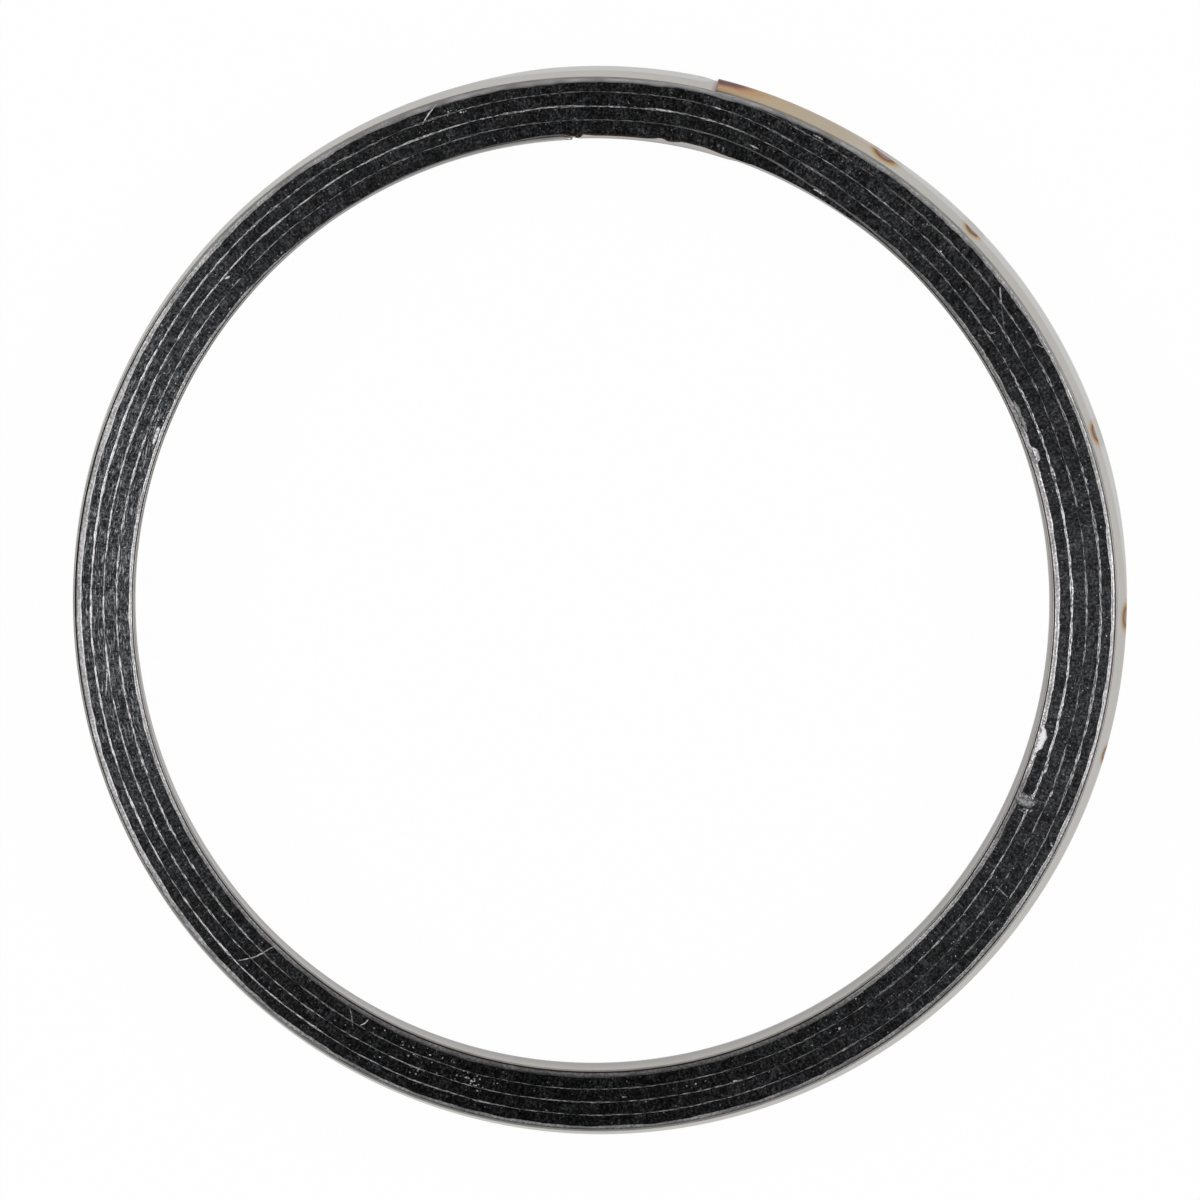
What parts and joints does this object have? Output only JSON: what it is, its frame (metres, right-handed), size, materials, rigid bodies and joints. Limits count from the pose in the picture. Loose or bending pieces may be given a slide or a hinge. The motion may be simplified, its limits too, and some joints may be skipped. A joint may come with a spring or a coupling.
{
  "type": "catalytic converter gasket",
  "caption": "Round spiral-wound exhaust gasket: a thin V-section steel strip wound with graphite tape between its turns, bare steel at bore and rim, for sealing a flanged joint.",
  "frame": {"origin": "centre of the bore, on the lower sealing face", "axes": "+Z along the bore, up through the ring as it lies; +X to the right in the reference view"},
  "size_m": [0.0806, 0.0806, 0.0055],
  "materials": {
    "steel": "satin rolled strip, heat-tinted at the spot welds",
    "graphite": "pressed graphite, matt with a faint grey sheen"
  },
  "bodies": {
    "root": {"steel_strip": "steel", "graphite_tape": "graphite"}
  },
  "joints": []
}
